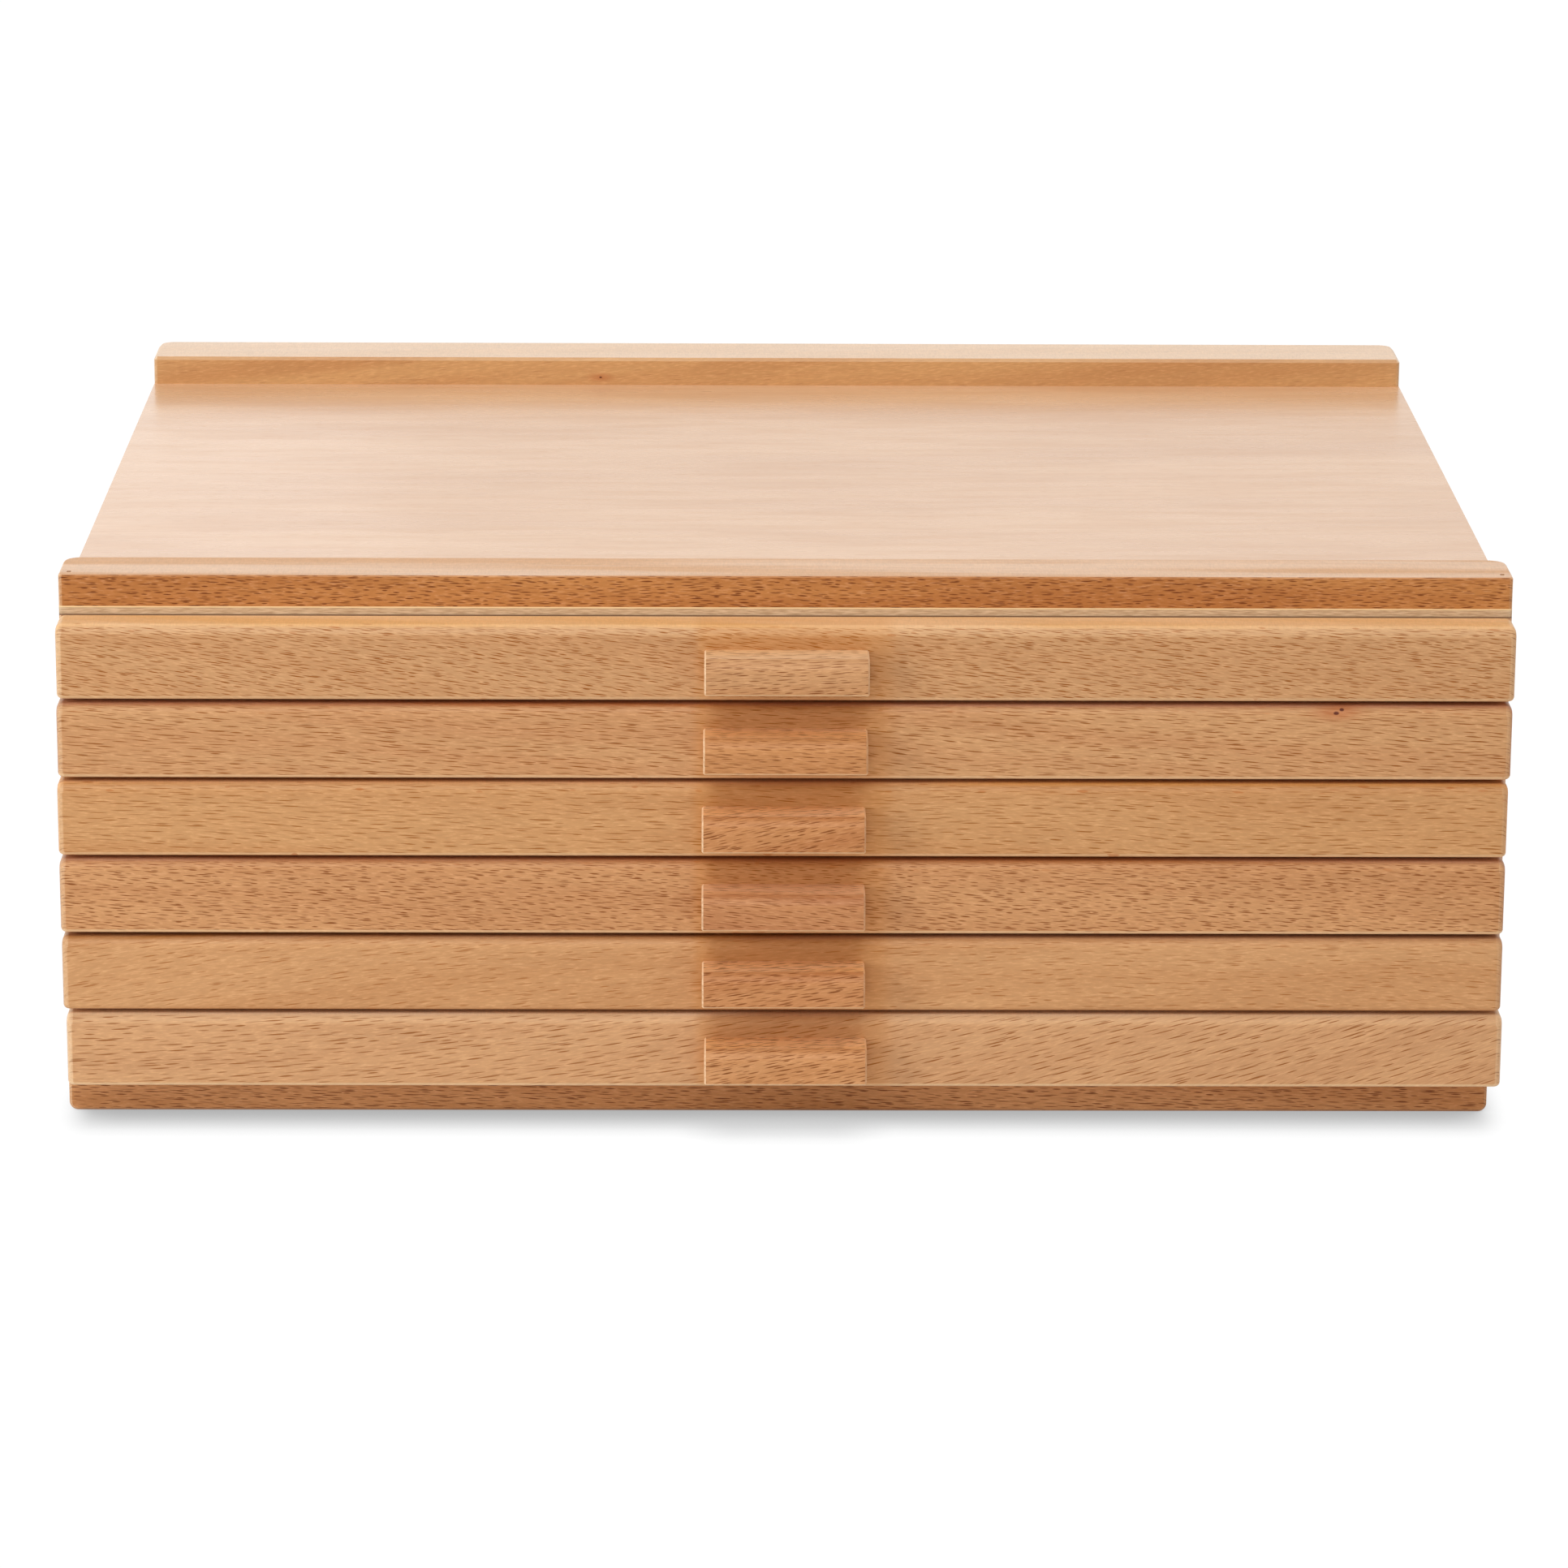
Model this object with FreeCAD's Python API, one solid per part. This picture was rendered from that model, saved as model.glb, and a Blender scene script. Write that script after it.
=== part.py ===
# Drawer box for pastels: a beech carcass that holds a stack of shallow wooden trays.
# Millimetres. +X is to the right, +Y to the rear and +Z up.
# The origin lies on the floor, midway across the box and midway between pulls and rear.
import FreeCAD, Part
import os

# ---------------------------------------------------------------- carcass
drawer_count = 6
box_width = 420.0
carcass_depth = 332.7
side_thickness = 12.0
board_thickness = 2.8
corner_radius = 1.0

back_thickness = 4.0
back_lap = 6.0
back_edge_gap = 0.3

# ---------------------------------------------------------------- rails
rail_height = 9.2
front_rail_depth = 22.0
rear_rail_depth = 26.0
front_rail_bevel = 0.4
rear_rail_bevel = 1.0
rail_front_corner_radius = 1.3
rail_rear_corner_radius = 5.0
base_rail_shortfall = 1.1
base_rail_shift = -1.5
base_rail_end_radius = 2.5
base_rail_bevel = 0.8

# ---------------------------------------------------------------- drawer fronts
front_height = 22.0
front_thickness = 12.0
front_gap = 1.42
front_lap = 0.2
front_clearance = 0.6
front_top_radius = 3.3
front_end_radius = 2.0
front_bottom_radius = 1.3

# ---------------------------------------------------------------- pulls
pull_length = 47.3
pull_height = 10.3
pull_projection = 13.5
pull_lift = 4.9
pull_top_radius = 4.0
pull_bevel = 0.5

# ---------------------------------------------------------------- trays
floor_lift = 2.4
floor_thickness = 2.8
floor_groove_depth = 5.0
floor_groove_end = 3.0
wall_height = 14.5
wall_thickness = 8.0
wall_edge_radius = 1.0
housing_depth = 3.0
divider_count = 2
divider_thickness = 5.0
divider_height = 11.0
divider_edge_radius = 1.5
joint_gap = 0.1
tray_side_play = 1.5
tray_rear_play = 3.0

# Each tray floor reaches past the tray walls into a groove of the carcass side.
runner_groove_depth = 5.5
runner_end_play = 1.5
runner_play = 0.3

# How far each drawer stands to one side within its play, the top drawer first.
drawer_shifts = [0.0, -0.3, -0.7, -0.7, -0.6, 0.1]

# ---------------------------------------------------------------- fasteners
brad_side = 1.1
brad_length = 25.0
brad_sink = 0.5
brad_face_inset = 4.2
top_brad_end_inset = 2.8
base_brad_end_inset = 5.0
back_pin_length = 14.0
back_pin_step = 2
screw_radius = 1.5
screw_head_radius = 3.0
screw_head_height = 1.8
screw_length = 20.0
screw_spacing = 26.0
hole_gap = 0.05

# ---------------------------------------------------------------- places that follow from the sizes
drawer_pitch = front_height + front_gap
stack_height = drawer_count * drawer_pitch - front_gap
side_height = stack_height - 2 * front_lap
side_bottom = rail_height + board_thickness
side_top = side_bottom + side_height
deck_level = side_top + board_thickness
box_height = deck_level + rail_height

box_depth = pull_projection + front_thickness + front_clearance + carcass_depth
pull_face = -box_depth / 2
front_face = pull_face + pull_projection
front_back = front_face + front_thickness
carcass_front = front_back + front_clearance
carcass_rear = carcass_front + carcass_depth
back_face = carcass_rear - back_thickness

outer_side = box_width / 2
base_rail_length = box_width - base_rail_shortfall
inner_side = outer_side - side_thickness
tray_half_width = inner_side - tray_side_play
tray_rear = back_face - tray_rear_play
floor_half_width = inner_side + runner_groove_depth - runner_end_play
wall_front = front_back - housing_depth
wall_inner = tray_half_width - wall_thickness

CLOSE = 0.001
UP = FreeCAD.Vector(0, 0, 1)
DOWN = FreeCAD.Vector(0, 0, -1)
FORWARD = FreeCAD.Vector(0, -1, 0)


# ---------------------------------------------------------------- places of each drawer
def drawer_bottom(number):
    """The lower edge of a drawer front; number 0 is the top drawer."""
    return side_bottom - front_lap + (drawer_count - 1 - number) * drawer_pitch


def floor_level(number):
    """The underside of a tray floor."""
    return drawer_bottom(number) + floor_lift


def divider_places():
    """The front face of each divider, spaced so that all lanes are equally deep."""
    room = tray_rear - wall_thickness - front_back
    lane = (room - divider_count * divider_thickness) / (divider_count + 1)
    return [
        front_back + lane + number * (lane + divider_thickness)
        for number in range(divider_count)
    ]


# ---------------------------------------------------------------- workshop operations
def block(x_ends, y_ends, z_ends):
    """A squared piece between two values on each axis, given in either order."""
    lows = [min(ends) for ends in (x_ends, y_ends, z_ends)]
    sizes = [max(ends) - min(ends) for ends in (x_ends, y_ends, z_ends)]
    return Part.makeBox(*sizes, FreeCAD.Vector(*lows))


def edges_at(shape, **places):
    """The edges that lie wholly at the given places, such as y=front and z=top."""
    found = []
    for edge in shape.Edges:
        box = edge.BoundBox
        limits = {"x": (box.XMin, box.XMax), "y": (box.YMin, box.YMax), "z": (box.ZMin, box.ZMax)}
        gaps = [abs(limit - place) for axis, place in places.items() for limit in limits[axis]]
        if max(gaps) < CLOSE:
            found.append(edge)
    return found


def nail(foot, direction, length, gap=0.0):
    """A square headless brad from its driven end onwards; gap widens it into its own hole."""
    tip = foot + direction * (length + gap)
    ends = []
    for start, end, way in zip(foot, tip, direction):
        half = 0 if way else brad_side / 2 + gap
        ends.append((min(start, end) - half, max(start, end) + half))
    return block(*ends)


def screw(foot, direction, gap=0.0):
    """A countersunk screw, its flat head at foot; gap widens it into its own hole."""
    head = screw_head_radius + gap
    shank = screw_radius + gap
    end = screw_length + gap
    profile = [(0, 0), (head, 0), (shank, screw_head_height), (shank, end), (0, end), (0, 0)]
    outline = Part.makePolygon([FreeCAD.Vector(radius, 0, height) for radius, height in profile])
    turned = Part.Face(outline).revolve(FreeCAD.Vector(0, 0, 0), UP, 360)
    turned.Placement = FreeCAD.Placement(foot, FreeCAD.Rotation(UP, direction))
    return turned


def bored(shape, holes):
    """The shape with the given holes cut out of it."""
    return shape.cut(Part.makeCompound(holes))


# ---------------------------------------------------------------- nails of the carcass
def brads(gap=0.0, run_out=0.0):
    """The brads that pin the front rail and both base rails down to the carcass sides.

    run_out carries each one back to the skin of its rail, for the sunk hole behind a brad.
    """
    length = brad_length + run_out
    sink = brad_sink - run_out
    front = carcass_front + brad_face_inset
    rear = carcass_rear - brad_face_inset
    made = []
    for side in (-1, 1):
        top_x = side * (outer_side - top_brad_end_inset)
        base_x = side * (outer_side - base_brad_end_inset)
        made.append(nail(FreeCAD.Vector(top_x, front, box_height - sink), DOWN, length, gap))
        made.append(nail(FreeCAD.Vector(base_x, front, sink), UP, length, gap))
        made.append(nail(FreeCAD.Vector(base_x, rear, sink), UP, length, gap))
    return made


def back_pins(gap=0.0):
    """The pins of the back panel, each driven into a side between two of its grooves."""
    x_place = inner_side + back_lap / 2
    made = []
    for x in (-x_place, x_place):
        for number in range(0, drawer_count, back_pin_step):
            z = floor_level(number) + (floor_thickness + drawer_pitch) / 2
            made.append(nail(FreeCAD.Vector(x, carcass_rear, z), FORWARD, back_pin_length, gap))
    return made


brad_holes = brads(hole_gap, run_out=brad_sink)
back_pin_holes = back_pins(hole_gap)


# ---------------------------------------------------------------- pieces of the carcass
def carcass_board(bottom):
    """The plywood board above or below the trays, its four corners eased."""
    top = bottom + board_thickness
    board = block((-outer_side, outer_side), (carcass_front, carcass_rear), (bottom, top))
    corners = [
        edge
        for x in (-outer_side, outer_side)
        for y in (carcass_front, carcass_rear)
        for edge in edges_at(board, x=x, y=y)
    ]
    return bored(board.makeFillet(corner_radius, corners), brad_holes)


def side_panel(side):
    """A carcass side, -1 left or 1 right: a groove for each tray floor, a rebate for the back."""
    outer = side * outer_side
    inner = side * inner_side
    panel = block((outer, inner), (carcass_front, carcass_rear), (side_bottom, side_top))
    corners = edges_at(panel, x=outer, y=carcass_front) + edges_at(panel, x=outer, y=carcass_rear)
    panel = panel.makeFillet(corner_radius, corners)
    cuts = [
        block(
            (inner, inner + side * back_lap),
            (back_face, carcass_rear),
            (side_bottom, side_top),
        )
    ]
    for number in range(drawer_count):
        floor = floor_level(number)
        cuts.append(
            block(
                (inner, inner + side * runner_groove_depth),
                (carcass_front, back_face),
                (floor - runner_play, floor + floor_thickness + runner_play),
            )
        )
    return bored(panel, cuts + brad_holes + back_pin_holes)


def back_panel():
    """The thin back, let into the rebates of both sides."""
    half_width = inner_side + back_lap - back_edge_gap
    panel = block((-half_width, half_width), (back_face, carcass_rear), (side_bottom, side_top))
    return bored(panel, back_pin_holes)


def top_rail(front, depth, bevel):
    """A rail on the top board: wide-rounded rear corners, and every upper edge bevelled."""
    rear = front + depth
    rail = block((-outer_side, outer_side), (front, rear), (deck_level, box_height))
    for x in (-outer_side, outer_side):
        rail = rail.makeFillet(rail_rear_corner_radius, edges_at(rail, x=x, y=rear))
        rail = rail.makeFillet(rail_front_corner_radius, edges_at(rail, x=x, y=front))
    rail = rail.makeChamfer(bevel, edges_at(rail, z=box_height))
    return bored(rail, brad_holes)


def base_rail(front, depth):
    """A rail under the box: it is the foot, a little short, with rounded lower ends."""
    rear = front + depth
    left = base_rail_shift - base_rail_length / 2
    right = left + base_rail_length
    rail = block((left, right), (front, rear), (0, rail_height))
    for x in (left, right):
        rail = rail.makeFillet(base_rail_end_radius, edges_at(rail, x=x, z=0))
    for y in (front, rear):
        rail = rail.makeChamfer(base_rail_bevel, edges_at(rail, y=y, z=0))
    return bored(rail, brad_holes)


# ---------------------------------------------------------------- pieces of one drawer
def pull_screws(number, gap=0.0):
    """The two screws that go through the drawer front into the pull."""
    centre = drawer_shifts[number]
    z = drawer_bottom(number) + pull_lift + pull_height / 2
    return [
        screw(FreeCAD.Vector(x, front_back, z), FORWARD, gap)
        for x in (centre - screw_spacing / 2, centre + screw_spacing / 2)
    ]


def drawer_front(number):
    """A drawer front: rounded upper edge, eased ends, and joints for the tray cut in its back."""
    centre = drawer_shifts[number]
    left = centre - outer_side
    right = centre + outer_side
    bottom = drawer_bottom(number)
    top = bottom + front_height
    front = block((left, right), (front_face, front_back), (bottom, top))
    front = front.makeFillet(front_top_radius, edges_at(front, y=front_face, z=top))
    for x in (left, right):
        front = front.makeFillet(front_end_radius, edges_at(front, x=x, y=front_face))
    front = front.makeFillet(front_bottom_radius, edges_at(front, y=front_face, z=bottom))

    floor = floor_level(number)
    floor_top = floor + floor_thickness
    groove_half = floor_half_width + floor_groove_end
    cuts = [
        block(
            (centre - groove_half, centre + groove_half),
            (front_back - floor_groove_depth, front_back),
            (floor - joint_gap, floor_top + joint_gap),
        )
    ]
    for side in (-1, 1):
        cuts.append(
            block(
                (
                    centre + side * (wall_inner - joint_gap),
                    centre + side * (tray_half_width + joint_gap),
                ),
                (wall_front - joint_gap, front_back),
                (floor_top, floor_top + wall_height + joint_gap),
            )
        )
    return bored(front, cuts + pull_screws(number, hole_gap))


def drawer_pull(number):
    """A block pull: its upper front edge is well rounded, its other edges are bevelled."""
    centre = drawer_shifts[number]
    left = centre - pull_length / 2
    right = centre + pull_length / 2
    bottom = drawer_bottom(number) + pull_lift
    top = bottom + pull_height
    pull = block((left, right), (pull_face, front_face), (bottom, top))
    pull = pull.makeFillet(pull_top_radius, edges_at(pull, y=pull_face, z=top))
    bevelled = edges_at(pull, y=pull_face, z=bottom)
    for x in (left, right):
        bevelled += edges_at(pull, x=x, y=pull_face) + edges_at(pull, x=x, z=bottom)
    pull = pull.makeChamfer(pull_bevel, bevelled)
    return bored(pull, pull_screws(number, hole_gap))


def tray_floor(number):
    """A plywood tray floor: let into the front, and wide enough to run in the side grooves."""
    centre = drawer_shifts[number]
    floor = floor_level(number)
    return block(
        (centre - floor_half_width, centre + floor_half_width),
        (front_back - floor_groove_depth + joint_gap, tray_rear),
        (floor, floor + floor_thickness),
    )


def tray_wall(number, side):
    """A side wall of the tray, -1 left or 1 right, housed out for the back and the dividers."""
    centre = drawer_shifts[number]
    outer = centre + side * tray_half_width
    inner = centre + side * wall_inner
    bottom = floor_level(number) + floor_thickness
    top = bottom + wall_height
    wall = block((outer, inner), (wall_front, tray_rear), (bottom, top))
    wall = wall.makeFillet(wall_edge_radius, edges_at(wall, x=outer, z=top))
    wall = wall.makeFillet(wall_edge_radius, edges_at(wall, x=inner, z=top))
    housing = (inner, inner + side * (housing_depth + joint_gap))
    cuts = [block(housing, (tray_rear - wall_thickness - joint_gap, tray_rear), (bottom, top))]
    for place in divider_places():
        cuts.append(
            block(
                housing,
                (place - joint_gap, place + divider_thickness + joint_gap),
                (bottom, top),
            )
        )
    return bored(wall, cuts)


def tray_cross_piece(number, front, thickness, height, radius):
    """A piece that runs from wall to wall on the tray floor, with its upper edges rounded."""
    centre = drawer_shifts[number]
    half_length = wall_inner + housing_depth
    bottom = floor_level(number) + floor_thickness
    top = bottom + height
    rear = front + thickness
    piece = block((centre - half_length, centre + half_length), (front, rear), (bottom, top))
    long_edges = edges_at(piece, y=front, z=top) + edges_at(piece, y=rear, z=top)
    return piece.makeFillet(radius, long_edges)


def tray_back(number):
    """The back wall of the tray."""
    front = tray_rear - wall_thickness
    return tray_cross_piece(number, front, wall_thickness, wall_height, wall_edge_radius)


def tray_dividers(number):
    """The low strips that part a tray into lanes."""
    return [
        tray_cross_piece(number, place, divider_thickness, divider_height, divider_edge_radius)
        for place in divider_places()
    ]


# ---------------------------------------------------------------- assembly
nodes = {
    "side_left": [side_panel(-1)],
    "side_right": [side_panel(1)],
    "back_panel": [back_panel()],
    "bottom_board": [carcass_board(rail_height)],
    "top_board": [carcass_board(side_top)],
    "top_front_rail": [top_rail(carcass_front, front_rail_depth, front_rail_bevel)],
    "top_rear_rail": [
        top_rail(carcass_rear - rear_rail_depth, rear_rail_depth, rear_rail_bevel)
    ],
    "base_front_rail": [base_rail(carcass_front, front_rail_depth)],
    "base_rear_rail": [base_rail(carcass_rear - rear_rail_depth, rear_rail_depth)],
    "rail_brads": brads(),
    "back_pins": back_pins(),
}
for index in range(drawer_count):
    name = f"drawer_{index + 1}"
    nodes[f"{name}_front"] = [drawer_front(index)]
    nodes[f"{name}_pull"] = [drawer_pull(index)]
    nodes[f"{name}_floor"] = [tray_floor(index)]
    nodes[f"{name}_wall_left"] = [tray_wall(index, -1)]
    nodes[f"{name}_wall_right"] = [tray_wall(index, 1)]
    nodes[f"{name}_back"] = [tray_back(index)]
    nodes[f"{name}_dividers"] = tray_dividers(index)
    nodes[f"{name}_pull_screws"] = pull_screws(index)

os.makedirs("parts", exist_ok=True)
for node, solids in nodes.items():
    shape = solids[0] if len(solids) == 1 else Part.makeCompound(solids)
    shape.exportStep(f"parts/{node}.step")
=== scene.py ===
import math

import bpy
from mathutils import Matrix, Vector


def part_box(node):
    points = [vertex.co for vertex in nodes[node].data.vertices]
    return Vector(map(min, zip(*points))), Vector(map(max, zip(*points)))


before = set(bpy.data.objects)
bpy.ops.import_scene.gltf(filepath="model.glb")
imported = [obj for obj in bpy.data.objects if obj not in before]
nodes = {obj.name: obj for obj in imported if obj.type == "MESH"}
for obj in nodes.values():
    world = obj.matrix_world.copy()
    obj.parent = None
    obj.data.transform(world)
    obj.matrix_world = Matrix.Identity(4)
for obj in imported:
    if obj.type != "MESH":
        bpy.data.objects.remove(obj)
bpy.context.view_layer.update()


# ------------------------------------------------------------------ base rails
# Two planed beech strips under the box are its feet. They are glued and bradded up into the
# bottom board, and wear the same thin satin lacquer as all the solid wood.
class Flow:
    """One socket of a material's node tree; arithmetic on it adds Math nodes."""

    def __init__(self, tree, socket=None):
        self.tree = tree
        self.socket = socket

    def node(self, kind, settings, inputs, output=0):
        """Any other node: its settings first, then the values or links of its sockets."""
        made = self.tree.nodes.new("ShaderNode" + kind)
        for name, setting in settings.items():
            setattr(made, name, setting)
        for name, value in inputs.items():
            if isinstance(value, Flow):
                self.tree.links.new(value.socket, made.inputs[name])
            else:
                made.inputs[name].default_value = value
        return Flow(self.tree, made.outputs[output] if made.outputs else None)

    def output(self, name):
        """Another output of the node that this socket belongs to."""
        return Flow(self.tree, self.socket.node.outputs[name])

    def maths(self, operation, *others):
        return self.node("Math", {"operation": operation}, dict(enumerate((self,) + others)))

    def __add__(self, other):
        return self.maths("ADD", other)

    def __sub__(self, other):
        return self.maths("SUBTRACT", other)

    def __rsub__(self, other):
        return self.node("Math", {"operation": "SUBTRACT"}, {0: other, 1: self})

    def __mul__(self, other):
        return self.maths("MULTIPLY", other)

    def __truediv__(self, other):
        return self.maths("DIVIDE", other)

    def __abs__(self):
        return self.maths("ABSOLUTE")

    __radd__ = __add__
    __rmul__ = __mul__

    def held(self):
        """The value, kept between 0 and 1."""
        return self.node("Clamp", {}, {"Value": self})

    def eased(self, start, end):
        """0 below start and 1 above end, with a soft step between them."""
        limits = {"Value": self, "From Min": start, "From Max": end}
        return self.node("MapRange", {"interpolation_type": "SMOOTHSTEP"}, limits)

    def tint(self, without, full):
        """A colour that goes from one to another as the value goes from 0 to 1."""
        return self.node("Mix", {"data_type": "RGBA"}, {0: self, 6: without, 7: full}, 2)


def stain(red, green, blue):
    """A colour given as a screen shows it, from 0 to 255."""
    shares = [value / 255 for value in (red, green, blue)]
    return tuple(((share + 0.055) / 1.055) ** 2.4 for share in shares) + (1.0,)


def new_finish(name):
    """An empty material, and the flow that its nodes start from."""
    finish = bpy.data.materials.new(name)
    finish.use_nodes = True
    finish.node_tree.nodes.clear()
    return finish, Flow(finish.node_tree)


def cloud(x, y, z, seed, detail=2.0):
    """Soft noise at a point whose sides are counted in lengths of the pattern."""
    point = x.node("CombineXYZ", {}, {"X": x + seed, "Y": y, "Z": z + seed * 0.37})
    return point.node("TexNoise", {}, {"Vector": point, "Scale": 1.0, "Detail": detail})


def millimetres(start):
    """Where a point of the piece lies, in millimetres along X, Y and Z."""
    place = start.node("TexCoord", {}, {}, "Object")
    split = place.node("SeparateXYZ", {}, {"Vector": place})
    return {axis: split.output(axis) * 1000 for axis in "XYZ"}


def facing(start):
    """How far a surface faces along X, Y and Z, either way, and how far down and to the left."""
    turned = start.node("TexCoord", {}, {}, "Normal")
    split = turned.node("SeparateXYZ", {}, {"Vector": turned})
    turned = {axis: abs(split.output(axis)) for axis in "XYZ"}
    turned["down"] = (split.output("Z") * -1).held()
    turned["left"] = (split.output("X") * -1).held()
    return turned


def shaded(colour, amount):
    """The colour made lighter or darker; 1 leaves it as it is."""
    return colour.node("VectorMath", {"operation": "SCALE"}, {0: colour, "Scale": amount})


def grain_lines(place, grain, face, seed, slope, sweep, wave):
    """How far a point lies along the grain, in from the ray face, and across the grain's lines.

    The lines climb by slope, in degrees, bend upwards to the right with sweep, and wander.
    """
    (third,) = set("XYZ") - {grain, face}
    along, depth, across = place[grain], place[face], place[third]
    wander = cloud(along / 70, depth / 25, across / 16, seed) - 0.5
    climb = along * math.tan(math.radians(slope)) + along * along * (sweep / 1000)
    return along, depth, across - climb + wander * wave + depth * 0.8


def rays(along, lie, spacing, size, share, seed):
    """The short dark marks where beech's rays come out: 1 at their middles, 0 between them."""
    parts = {"X": along / spacing[0] + seed, "Y": lie / spacing[1] + seed * 3}
    point = along.node("CombineXYZ", {}, parts)
    nearest = point.node(
        "TexVoronoi",
        {"voronoi_dimensions": "2D", "feature": "F1"},
        {"Vector": point, "Scale": 1.0, "Randomness": 0.62},
        "Position",
    )
    luck = nearest.node("SeparateColor", {}, {"Color": nearest.output("Color")})
    gap = point.node("VectorMath", {"operation": "SUBTRACT"}, {0: point, 1: nearest})
    split = gap.node("SeparateXYZ", {}, {"Vector": gap})
    half_length = (luck.output("Red") * 0.9 + 0.55) * (size[0] / 2)
    half_width = (luck.output("Green") * 0.6 + 0.8) * (size[1] / 2)
    reach = split.output("X") * spacing[0] / half_length
    lens = 1 - reach * reach - abs(split.output("Y")) * spacing[1] / half_width
    kept = luck.output("Blue").maths("LESS_THAN", share)
    return (lens * 3).held() * kept * (luck.output("Green") * 0.45 + 0.55)


def eased_edges(turned):
    """1 where an edge is rounded or bevelled, so that the surface faces no side squarely."""
    widest = turned["X"].maths("MAXIMUM", turned["Y"]).maths("MAXIMUM", turned["Z"])
    return (1 - widest).eased(0.0005, 0.035)


def knot_marks(along, across, knots):
    """Pin knots: a dark core, and a wide blush of redder wood drawn out along the grain."""
    core, blush = None, None
    for knot_along, knot_across, radius in knots:
        off_along = along - knot_along
        off_across = across - knot_across
        spread = (off_along * off_along / 9 + off_across * off_across).maths("SQRT")
        close = (off_along * off_along / 3 + off_across * off_across).maths("SQRT")
        dot = 1 - close.eased(radius * 0.5, radius)
        halo = 1 - spread.eased(0.0, radius * 6)
        core = dot if core is None else core.maths("MAXIMUM", dot)
        blush = halo if blush is None else blush.maths("MAXIMUM", halo)
    return core, blush


def lacquered(colour, roughness, height, coat, gloss):
    """Satin lacquer over wood; height counts the relief of the grain in tenths of a millimetre."""
    relief = height.node("Bump", {}, {"Height": height, "Strength": 0.5, "Distance": 0.0001})
    shader = colour.node(
        "BsdfPrincipled",
        {},
        {
            "Base Color": colour,
            "Roughness": roughness,
            "Normal": relief,
            "Specular IOR Level": gloss,
            "Coat Weight": coat,
            "Coat Roughness": 0.2,
        },
    )
    shader.node("OutputMaterial", {}, {"Surface": shader})


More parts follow.
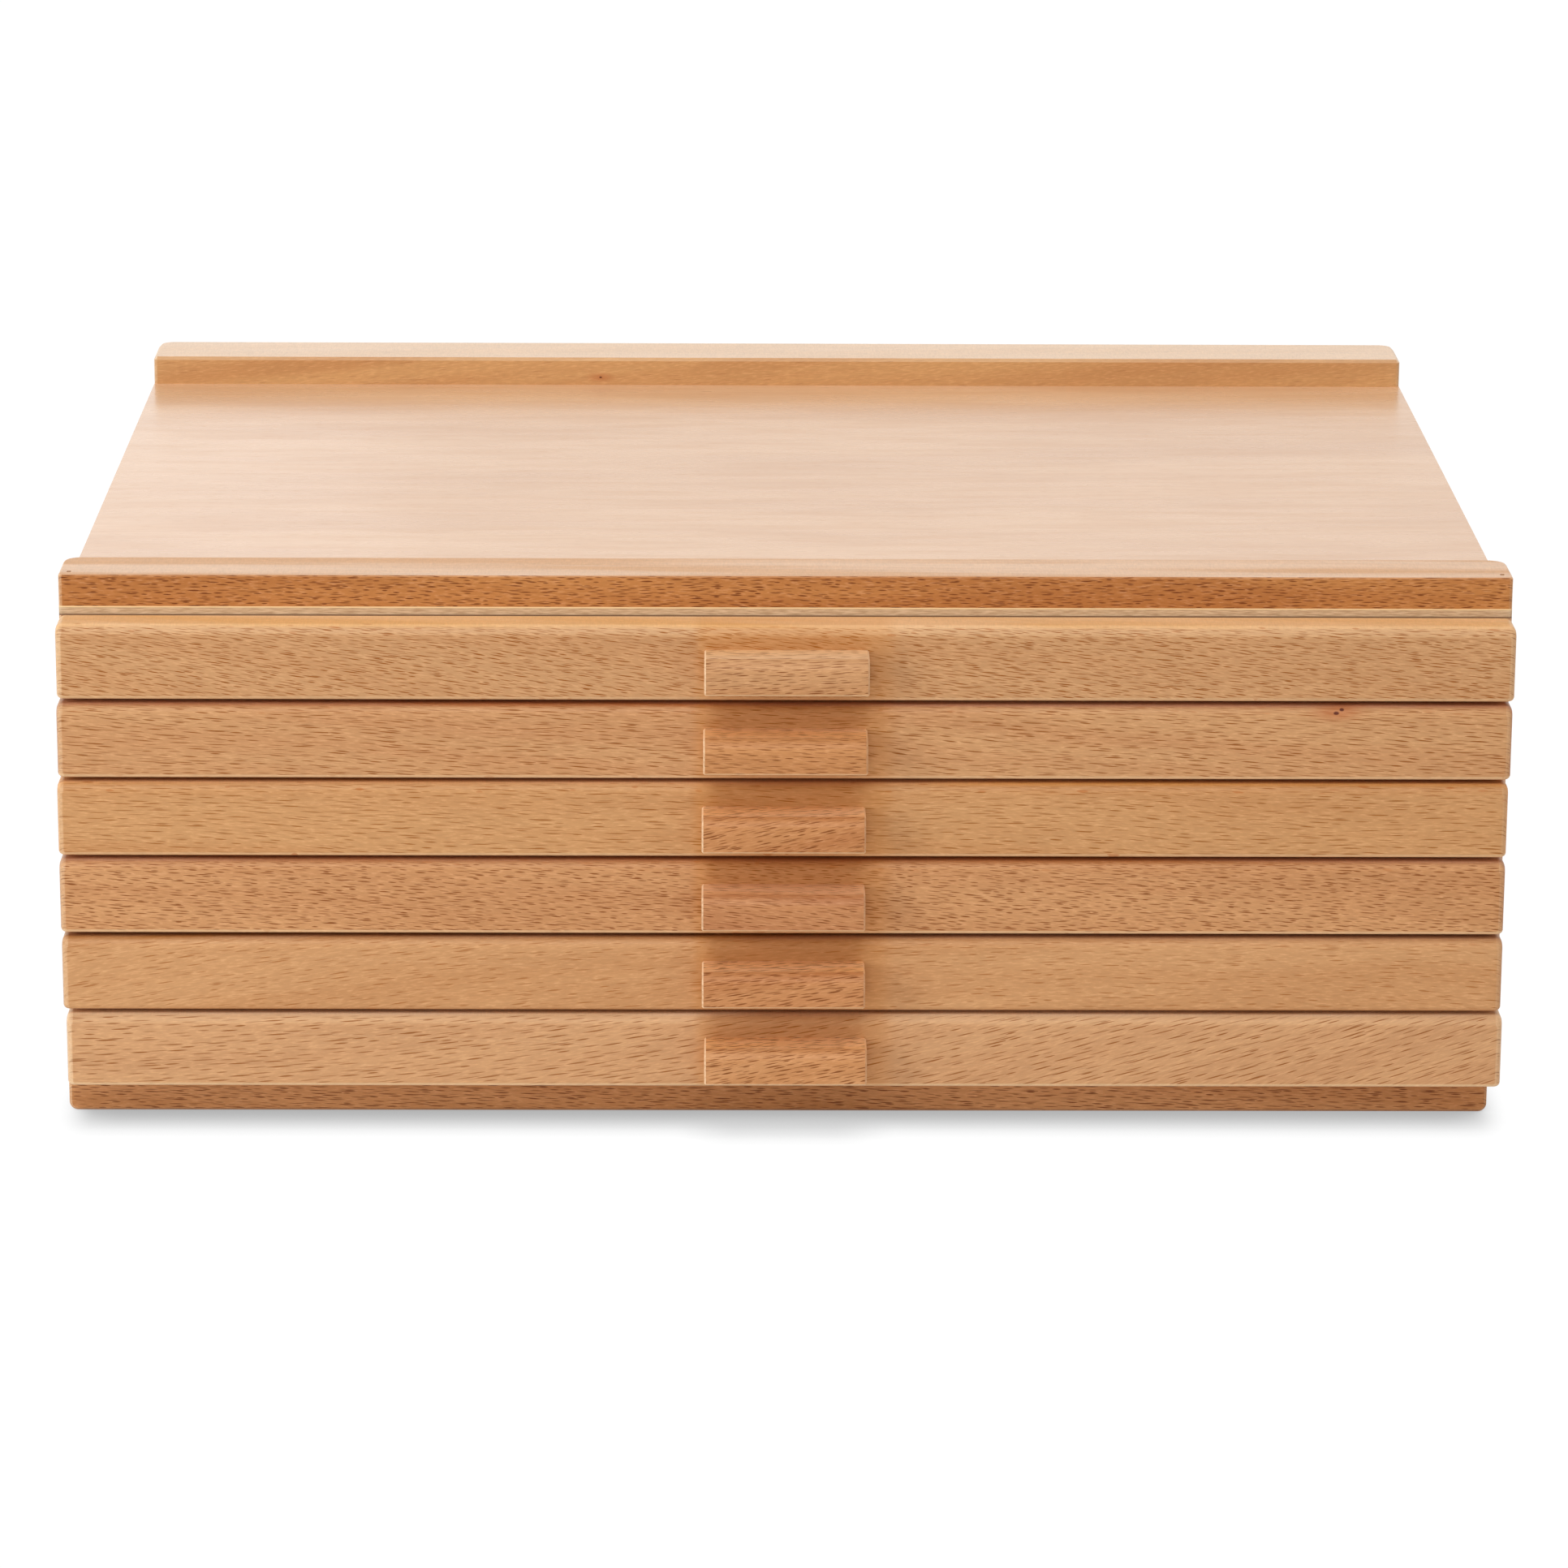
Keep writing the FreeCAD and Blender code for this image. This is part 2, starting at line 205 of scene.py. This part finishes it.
def beech(
    name,
    seed,
    light,
    dark,
    mark,
    beside,
    grain="X",
    face="Y",
    slope=0.0,
    sweep=0.0,
    wave=2.0,
    spacing=(9.0, 1.25),
    size=(4.8, 0.3),
    share=0.97,
    strength=0.8,
    mottle=0.15,
    pale=0.0,
    lit_from_below=0.0,
    worn_and_lit=0.3,
    spots=0.0,
    knots=(),
    pull=None,
    all_round=False,
    coat=0.02,
    gloss=0.2,
):
    """Solid beech, its grain along one axis and its rays cut across on the faces of another.

    light and dark are the tones of the faces with rays, mark that of the rays, and beside that of
    the long faces next to them, which bleached clouds mottle. spacing and size are the step of
    the rays and their own length and width, in millimetres; share and strength are how many
    there are and how dark. pale makes all the worked edges paler, as cut wood and as a painted
    highlight; lit_from_below paints a highlight on those that face down, as light off the
    floor; worn_and_lit makes the sawn ends pale with the saw's ragged fibres and paints a
    highlight on those that face left. spots are smudges along the edges, knots give (along,
    across, radius), and pull is the box of a pull on the piece, around which the pull's shade
    is painted a deeper orange. With all_round the rays come out on all four long faces.
    """
    bleached, cut_wood_and_highlight, torn_wood_and_highlight = stain(255, 240, 224), stain(230, 196, 152), stain(255, 228, 190)
    glossy_fibre, smudge, pull_shade_orange = stain(255, 214, 168), stain(176, 100, 40), stain(205, 130, 30)
    knot_blush, knot_core = stain(176, 98, 52), stain(84, 30, 14)
    dark_end, light_end = stain(170, 112, 70), stain(206, 150, 104)

    finish, start = new_finish(name)
    place = millimetres(start)
    turned = facing(start)
    along, depth, lie = grain_lines(place, grain, face, seed, slope, sweep, wave)

    bands = cloud(along / 190, depth / 14, lie / 9, seed + 3).eased(0.34, 0.66)
    fibres = cloud(along / 2.6, depth / 0.8, lie / 0.42, seed + 5)
    mist = cloud(along / 26, depth / 12, lie / 7, seed + 8)
    colour = bands.tint(dark, light)

    # Beside the ray faces the wood has another tone, and the rays only make a fine shimmer across
    # it. Worked edges are painted paler, as cut wood and as a highlight where light catches them,
    # and those that face down get a painted highlight from the light off the floor.
    on_face = turned[face].eased(0.0, 0.3) if all_round else turned[face].eased(0.35, 0.8)
    on_rays = 1 - turned[grain].eased(0.2, 0.65) if all_round else on_face
    under = turned["down"].eased(0.05, 0.3)
    worked = eased_edges(turned)
    next_to = (bands * mottle).tint(beside, bleached)
    colour = on_face.tint(next_to, colour)
    # cut is the paler cut wood of the worked edges together with their painted highlight.
    cut = worked * (under * lit_from_below + pale).held()
    colour = cut.tint(colour, cut_wood_and_highlight)
    shimmer = (cloud(along / 0.5, depth / 4, lie / 4, seed + 17) - 0.5) * (1 - on_rays)
    shade = (fibres - 0.5) * 0.3 + (mist - 0.5) * 0.12 + shimmer * 0.24 + 1.0
    colour = shaded(colour, shade)
    colour = (fibres.eased(0.5, 0.75) * 0.12).tint(colour, glossy_fibre)

    # Two sets of rays, the second half a step away, fill the face evenly.
    marks = rays(along, lie, spacing, size, share, seed)
    between = rays(along, lie, spacing, size, share, seed + 21.5)
    marks = marks.maths("MAXIMUM", between) * on_rays * (1 - under * worked)
    colour = (marks * strength).tint(colour, mark)

    if spots:
        smudges = rays(along, lie, (9.0, 3.0), size=(3.0, 0.8), share=0.5, seed=seed + 40)
        colour = (smudges * worked * spots).tint(colour, smudge)
    if knots:
        (third,) = set("XYZ") - {grain, face}
        core, blush = knot_marks(along, place[third], knots)
        colour = (blush * 0.6).tint(colour, knot_blush)
        colour = (core * 0.95).tint(colour, knot_core)

    # Painted shade: the wood around and to the right of a pull is tinted a deeper orange, for
    # the pull's shadow and the warm light that it throws back on the front.
    if pull:
        left, right = (corner[0] * 1000 for corner in pull)
        pull_shade = (place["X"] - left).eased(-4, 0) * (right - place["X"]).eased(-10, -3)
        colour = (pull_shade * 0.2).tint(colour, pull_shade_orange)

    # The saw tears the fibres at the ends of the grain and leaves the edge pale. Edges that face
    # left are painted paler still, as a highlight from the lamp at the left.
    torn_and_lit = worked * turned[grain].eased(0.02, 0.2) * (1 - turned[grain].eased(0.9, 0.98))
    torn_and_lit = torn_and_lit * (turned["left"] * 0.9 + 0.4)
    specks = cloud(place["X"] / 0.9, place["Y"] / 0.9, place["Z"] / 0.9, seed + 31).eased(0.4, 0.6)
    colour = (torn_and_lit * (specks * 0.4 + 0.6) * worn_and_lit).tint(colour, torn_wood_and_highlight)

    # Sawn ends drink more lacquer: they are darker, and the growth rings cross them.
    end = turned[grain].eased(0.9, 0.98)
    pores = cloud(along / 3, depth / 0.35, lie / 0.35, seed + 11)
    rings = cloud(along / 60, depth / 2.4, lie / 1.3, seed + 13)
    end_colour = (pores * 0.5 + rings * 0.5).eased(0.35, 0.65).tint(dark_end, light_end)
    colour = (end * 0.85).tint(colour, end_colour)

    roughness = 0.42 + marks * 0.16 + fibres * 0.1 + end * 0.12
    height = fibres * 0.25 - marks * 0.6
    lacquered(colour, roughness, height, coat, gloss)
    return finish


def dress(node, finish):
    """Puts a finish on a piece."""
    for slot in nodes[node].material_slots:
        slot.material = finish


for number, node in enumerate(("base_front_rail", "base_rear_rail")):
    dress(
        node,
        beech(
            node + "_beech",
            seed=40 + 9 * number,
            light=stain(204, 148, 98),
            dark=stain(190, 132, 82),
            mark=stain(118, 64, 32),
            beside=stain(222, 166, 116),
            slope=-2.0,
            spacing=(7.6, 1.1),
            size=(4.4, 0.3),
            strength=0.95,
        ),
    )


# ------------------------------------------------------------------ boards
# Two beech-faced plywood boards close the carcass below and above. Their long grain runs from
# side to side, and the raw layers show along their four edges. Under the front edge of the top
# one a narrow gap is left for the upper drawer.
def plywood(name, box, seed, light, dark, coat=0.26, face="Z", gap_shade=0.0):
    """Plywood that lies square to one axis: peeled, pale beech veneers on a greyer core.

    box is the sheet's box in metres. gap_shade paints shade along the bottom edge of the
    sheet, where a narrow gap lies in shadow.
    """
    veneer_thickness = 0.45
    pale_patch, warm_streak, fleck = stain(238, 200, 164), stain(212, 160, 110), stain(150, 98, 62)
    veneer_edge, glue_line = stain(236, 206, 156), stain(120, 90, 56)
    dark_core, light_core = stain(178, 146, 110), stain(216, 188, 152)
    gap_shadow = stain(100, 50, 26)

    finish, start = new_finish(name)
    place = millimetres(start)
    turned = facing(start)
    along, depth, lie = grain_lines(place, "X", face, seed, slope=0.4, sweep=0.0, wave=7.0)

    # The veneer has wide clouds, pale patches, faint long streaks and a fine dust of ray marks.
    bands = cloud(along / 120, depth, lie / 26, seed + 2).eased(0.32, 0.68)
    patches = cloud(along / 42, depth, lie / 12, seed + 7).eased(0.5, 0.72)
    streaks = cloud(along / 36, depth, lie / 3.5, seed + 4, 3.0)
    dust = cloud(along / 2.0, depth, lie / 1.2, seed + 9)
    flecks = rays(along, lie, (9.0, 3.6), size=(3.8, 0.9), share=0.8, seed=seed)
    colour = (patches * 0.3).tint(bands.tint(dark, light), pale_patch)
    colour = (streaks.eased(0.42, 0.68) * 0.28).tint(colour, warm_streak)
    colour = shaded(colour, (dust - 0.5) * 0.1 + 1.0)
    colour = (flecks * 0.07).tint(colour, fleck)

    # On the edges the core shows between the two veneers, with a dark line of glue at each.
    low, high = (corner["XYZ".index(face)] * 1000 for corner in box)
    sunk = (high - low) / 2 - abs(depth - (low + high) / 2)
    on_edge = 1 - turned[face].eased(0.3, 0.7)
    threads = cloud(along / 4, depth / 0.35, place["Y"] / 4, seed + 6, 3.0)
    core = threads.eased(0.3, 0.7).tint(dark_core, light_core)
    inside = sunk.eased(veneer_thickness * 0.85, veneer_thickness * 1.15)
    edge_colour = inside.tint(veneer_edge, core)
    glue = 1 - abs(sunk - veneer_thickness).eased(0.02, 0.14)
    edge_colour = (glue * 0.25).tint(edge_colour, glue_line)
    # Painted shade: the bottom edge of the sheet is darkened where the gap under it lies in shadow.
    lowest = 1 - (depth - low).eased(0.3, 0.6)
    edge_colour = (lowest * gap_shade).tint(edge_colour, gap_shadow)
    colour = on_edge.tint(colour, edge_colour)

    roughness = 0.24 + streaks * 0.08 + flecks * 0.06 + on_edge * 0.35
    height = streaks * 0.08 - flecks * 0.1 + on_edge * threads * 0.8
    lacquered(colour, roughness, height, coat, gloss=0.5)
    return finish


for number, node in enumerate(("bottom_board", "top_board")):
    dress(
        node,
        plywood(
            node + "_plywood",
            light=stain(233, 193, 154),
            dark=stain(224, 182, 143),
            box=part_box(node),
            seed=3 + 11 * number,
            gap_shade=0.85 * number,
        ),
    )


# ------------------------------------------------------------------ carcass sides
# Each side is a solid beech panel on edge. A groove for every tray floor and a rebate for the
# back are cut in its inner face before it is glued between the boards.
for number, node in enumerate(("side_left", "side_right")):
    dress(
        node,
        beech(
            node + "_beech",
            light=stain(212, 162, 116),
            dark=stain(198, 144, 98),
            mark=stain(150, 96, 56),
            beside=stain(218, 170, 124),
            seed=70 + 9 * number,
            slope=-3.0,
            grain="Y",
            face="X",
        ),
    )


# ------------------------------------------------------------------ back panel
# A thin plywood panel let into the rebates of both sides, held by headless pins.
dress(
    "back_panel",
    plywood(
        "back_plywood",
        light=stain(208, 160, 116),
        dark=stain(198, 148, 104),
        box=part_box("back_panel"),
        face="Y",
        seed=33,
    ),
)


def steel(name, tone, roughness):
    """Plain steel wire, drawn and a little tarnished."""
    tarnished = stain(96, 84, 74)
    finish, start = new_finish(name)
    place = millimetres(start)
    tarnish = cloud(place["X"] / 0.8, place["Y"] / 0.8, place["Z"] / 0.8, 2.0, 3.0)
    scratches = cloud(place["X"] / 0.1, place["Y"] / 0.1, place["Z"] / 2.0, 5.0)
    colour = tarnish.eased(0.35, 0.7).tint(tone, tarnished)
    relief = scratches.node("Bump", {}, {"Height": scratches, "Strength": 0.2, "Distance": 0.0001})
    shader = colour.node(
        "BsdfPrincipled",
        {},
        {
            "Base Color": colour,
            "Roughness": roughness + tarnish * 0.25,
            "Metallic": 1.0,
            "Normal": relief,
        },
    )
    shader.node("OutputMaterial", {}, {"Surface": shader})
    return finish


dress("back_pins", steel("pin_steel", stain(168, 160, 150), 0.3))


# ------------------------------------------------------------------ top rails
# A rail along the front and one along the rear of the top board keep what stands on it, or the
# next box, in place. Both are solid beech, glued down; the front one is bradded at its ends.
dress(
    "top_front_rail",
    beech(
        "front_rail_beech",
        seed=91,
        light=stain(188, 126, 68),
        dark=stain(174, 110, 55),
        mark=stain(110, 52, 10),
        beside=stain(213, 165, 120),
        slope=-1.0,
        wave=4.0,
        spacing=(5.8, 1.15),
        size=(3.3, 0.3),
        strength=1.0,
        mottle=0.35,
        coat=0.05,
    ),
)
dress(
    "top_rear_rail",
    beech(
        "rear_rail_beech",
        seed=97,
        light=stain(205, 157, 104),
        dark=stain(195, 143, 92),
        mark=stain(160, 100, 58),
        beside=stain(242, 214, 185),
        slope=6.0,
        spacing=(12.0, 2.4),
        share=0.5,
        strength=0.3,
        knots=((-59.6, 156.1, 0.35),),
        coat=0.1,
    ),
)
dress("rail_brads", steel("brad_steel", stain(40, 30, 24), 0.8))


# ------------------------------------------------------------------ trays
# Every drawer is a tray: a thin plywood floor that runs in the side grooves, two solid walls and
# a back around it, and two low strips that part it into three lanes.
drawer_count = sum(1 for node in nodes if node.endswith("_front"))
for number in range(1, drawer_count + 1):
    drawer = f"drawer_{number}"
    dress(
        f"{drawer}_floor",
        plywood(
            f"{drawer}_floor_plywood",
            light=stain(216, 172, 130),
            dark=stain(206, 160, 116),
            box=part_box(f"{drawer}_floor"),
            seed=110 + 5 * number,
            coat=0.1,
        ),
    )
    for order, part in enumerate(("wall_left", "wall_right")):
        dress(
            f"{drawer}_{part}",
            beech(
                f"{drawer}_{part}_beech",
                light=stain(216, 168, 124),
                dark=stain(204, 152, 108),
                mark=stain(158, 104, 64),
                beside=stain(222, 176, 132),
                seed=150 + 7 * number + 3 * order,
                grain="Y",
                face="X",
                coat=0.1,
            ),
        )
    for order, part in enumerate(("back", "dividers")):
        dress(
            f"{drawer}_{part}",
            beech(
                f"{drawer}_{part}_beech",
                light=stain(216, 168, 124),
                dark=stain(204, 152, 108),
                mark=stain(158, 104, 64),
                beside=stain(222, 176, 132),
                seed=230 + 7 * number + 3 * order,
                coat=0.1,
            ),
        )


# ------------------------------------------------------------------ drawer fronts
# Six strips of solid beech, each sawn from another board, so every one has its own tone, slope
# and pattern of rays. The upper edge is rounded over and the ends are eased before lacquering.
# Each front's top-edge tone (beside) holds painted light as well as wood: it is lighter on fronts
# 1, 3 and 6, where light falls on the rounded top, and darker on fronts 2, 4 and 5 as painted shade
# under the front above. pale and lit_from_below paint highlights on the worked edges, and
# worn_and_lit on the ends.
front_boards = {
    1: dict(
        light=stain(196, 149, 103),
        dark=stain(192, 143, 97),
        mark=stain(144, 80, 18),
        beside=stain(222, 170, 110),
        slope=-7.0,
        sweep=0.06,
        spacing=(7.2, 1.05),
        size=(4.4, 0.26),
        strength=1.0,
        pale=0.2,
        lit_from_below=0.2,
        spots=0.5,
    ),
    2: dict(
        light=stain(198, 150, 103),
        dark=stain(192, 140, 94),
        mark=stain(138, 76, 16),
        beside=stain(172, 100, 46),
        slope=-3.5,
        wave=5.0,
        spacing=(10.0, 1.3),
        size=(5.6, 0.28),
        strength=0.95,
        lit_from_below=0.6,
        spots=0.3,
        knots=((158.6, 125.5, 0.6), (160.2, 126.4, 0.5)),
    ),
    3: dict(
        light=stain(198, 149, 99),
        dark=stain(192, 140, 90),
        mark=stain(146, 84, 20),
        beside=stain(222, 156, 85),
        slope=-2.0,
        wave=5.0,
        spacing=(11.0, 1.7),
        size=(6.0, 0.28),
        strength=0.85,
        lit_from_below=0.5,
        spots=0.6,
    ),
    4: dict(
        light=stain(199, 147, 99),
        dark=stain(191, 137, 90),
        mark=stain(126, 64, 12),
        beside=stain(180, 118, 70),
        slope=-3.5,
        wave=3.0,
        spacing=(7.2, 1.1),
        size=(3.8, 0.28),
        strength=0.95,
        lit_from_below=0.7,
        spots=0.3,
    ),
    5: dict(
        light=stain(200, 151, 103),
        dark=stain(193, 142, 94),
        mark=stain(158, 96, 40),
        beside=stain(184, 123, 64),
        slope=3.5,
        sweep=-0.24,
        wave=4.0,
        spacing=(9.0, 1.5),
        size=(4.8, 0.3),
        share=0.6,
        strength=0.75,
        spots=0.2,
    ),
    6: dict(
        light=stain(203, 156, 111),
        dark=stain(197, 149, 105),
        mark=stain(140, 80, 24),
        beside=stain(230, 187, 143),
        slope=11.0,
        sweep=0.4,
        spacing=(11.0, 2.0),
        size=(6.2, 0.34),
        strength=0.9,
        pale=0.18,
        lit_from_below=0.6,
        worn_and_lit=0.45,
    ),
}
for number, board in front_boards.items():
    node = f"drawer_{number}_front"
    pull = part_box(f"drawer_{number}_pull")
    dress(node, beech(f"{node}_beech", seed=300 + 17 * number, pull=pull, **board))


# ------------------------------------------------------------------ pulls
# A short beech block on the middle of each front, its upper edge rounded for the fingers. It is
# sawn from offcuts, so its grain runs its own way, and two screws hold it from behind.
# The top tone of each pull is painted light: it is paler than the front, most on pulls 2 to 6, to
# lift the shade that the pull above casts on their tops. lit_from_below paints a highlight on their
# bottom edges, and worn_and_lit on their ends, most on the left.
pull_blocks = {
    # number: (light, dark and top tone, slope of the grain, width of the rays)
    1: ((195, 146, 100), (185, 131, 84), (218, 168, 114), 3.0, 0.28),
    2: ((199, 142, 90), (187, 129, 79), (234, 174, 114), -2.0, 0.26),
    3: ((192, 134, 84), (180, 119, 71), (236, 180, 122), 12.0, 0.32),
    4: ((190, 133, 87), (178, 118, 75), (222, 162, 106), -5.0, 0.26),
    5: ((194, 136, 87), (182, 121, 73), (234, 175, 114), 9.0, 0.36),
    6: ((204, 150, 101), (194, 137, 87), (232, 174, 112), 11.0, 0.36),
}
for number, (light, dark, top, slope, ray_width) in pull_blocks.items():
    node = f"drawer_{number}_pull"
    finish = beech(
        f"{node}_beech",
        seed=500 + 13 * number,
        light=stain(*light),
        dark=stain(*dark),
        beside=stain(*top),
        slope=slope,
        mark=stain(120, 62, 16),
        spacing=(7.6, 1.2),
        size=(4.2, ray_width),
        strength=0.95,
        lit_from_below=0.8,
        worn_and_lit=0.6,
        all_round=True,
    )
    dress(node, finish)
    dress(f"drawer_{number}_pull_screws", steel("screw_steel", stain(186, 182, 176), 0.25))


# ------------------------------------------------------------------ floor
# The box stands on a plain pale floor that runs out of sight. It shows white, apart from the
# shadow at the foot of the box, which is weaker beside it than in front.
floor_half = 8.0
floor_mesh = bpy.data.meshes.new("floor")
floor_mesh.from_pydata(
    [
        (-floor_half, -floor_half, 0.0),
        (floor_half, -floor_half, 0.0),
        (floor_half, floor_half, 0.0),
        (-floor_half, floor_half, 0.0),
    ],
    [],
    [(0, 1, 2, 3)],
)
floor = bpy.data.objects.new("floor", floor_mesh)
bpy.context.scene.collection.objects.link(floor)


def seen_rays(start):
    """1 for a ray that shows the surroundings to the eye: direct, in a gloss or through glass."""
    direct = start.node("LightPath", {}, {}, "Is Camera Ray")
    glossy = direct.output("Is Glossy Ray")
    clear = direct.output("Is Transmission Ray")
    return direct.maths("MAXIMUM", glossy).maths("MAXIMUM", clear)


white_light, pale_grey = (1.0, 1.0, 1.0, 1.0), (0.85, 0.85, 0.85, 1.0)
seen_strength = 1.03
shadow_reach = 0.019
shadow_in_front, less_beside = 0.73, 0.65

finish, start = new_finish("pale_floor")
shelter = start.node("AmbientOcclusion", {"samples": 16}, {"Distance": shadow_reach}, "AO")
beside_box = abs(millimetres(start)["X"]).eased(203, 215)
shadow = (1 - shelter) * (shadow_in_front - beside_box * less_beside)
white = start.node("Emission", {}, {"Color": white_light, "Strength": seen_strength - shadow})
matt = start.node("BsdfDiffuse", {}, {"Color": pale_grey})
either = start.node("MixShader", {}, {0: seen_rays(start), 1: matt, 2: white})
either.node("OutputMaterial", {}, {"Surface": either})
floor_mesh.materials.append(finish)


# ------------------------------------------------------------------ light
# One soft box hangs in front, one overhead, and one stands at the left; a weak one behind gives
# the top its sheen. The room's own light is a little warmer than theirs, and its white walls
# show in the lacquer.
room = bpy.data.worlds.new("white_room")
room.use_nodes = True
room.node_tree.nodes.clear()
start = Flow(room.node_tree)
white = seen_rays(start)
warm_light = (1.14, 0.98, 0.86, 1.0)
room_strength = 0.44
glow = start.node(
    "Background",
    {},
    {
        "Color": white.tint(warm_light, white_light),
        "Strength": white * (1 - room_strength) + room_strength,
    },
)
glow.node("OutputWorld", {}, {"Surface": glow})
bpy.context.scene.world = room


def soft_box(name, place, aim, width, height, power):
    """A slightly cool, rectangular lamp at a place, turned to face the point it is aimed at."""
    lamp = bpy.data.lights.new(name, "AREA")
    lamp.shape = "RECTANGLE"
    lamp.size = width
    lamp.size_y = height
    lamp.energy = power
    lamp.color = (0.95, 1.0, 1.05)
    stand = bpy.data.objects.new(name, lamp)
    stand.location = place
    stand.rotation_euler = (Vector(aim) - Vector(place)).to_track_quat("-Z", "Y").to_euler()
    bpy.context.scene.collection.objects.link(stand)


soft_box("key", (-0.3, -1.73, 1.78), (0.0, -0.1, 0.1), width=1.3, height=0.6, power=17.0)
soft_box("overhead", (0.0, -0.5, 2.1), (0.0, -0.1, 0.1), width=1.4, height=1.0, power=10.0)
soft_box("left", (-1.35, -1.25, 0.55), (-0.1, -0.17, 0.1), width=0.5, height=0.9, power=9.5)
soft_box("rear_left", (-0.55, 2.2, 0.6), (-0.1, 0.0, 0.15), width=0.6, height=0.5, power=0.33)


# ------------------------------------------------------------------ camera
# A long lens a little above the box, looking down at its front.
picture_side = 1932
focal_pixels = 7481.0
sensor = 36.0
camera_place = (-0.01907, -1.8544, 0.5819)
look_down = math.radians(15.80)
look_right = math.radians(0.627)
lean = math.radians(0.281)

camera = bpy.data.cameras.new("camera")
camera.sensor_width = sensor
camera.lens = sensor * focal_pixels / picture_side
holder = bpy.data.objects.new("camera", camera)
turn = Matrix.Rotation(-look_right, 4, "Z") @ Matrix.Rotation(math.pi / 2 - look_down, 4, "X")
holder.matrix_world = Matrix.Translation(camera_place) @ turn @ Matrix.Rotation(lean, 4, "Z")
bpy.context.scene.collection.objects.link(holder)
bpy.context.scene.camera = holder
bpy.context.scene.view_settings.view_transform = "Standard"
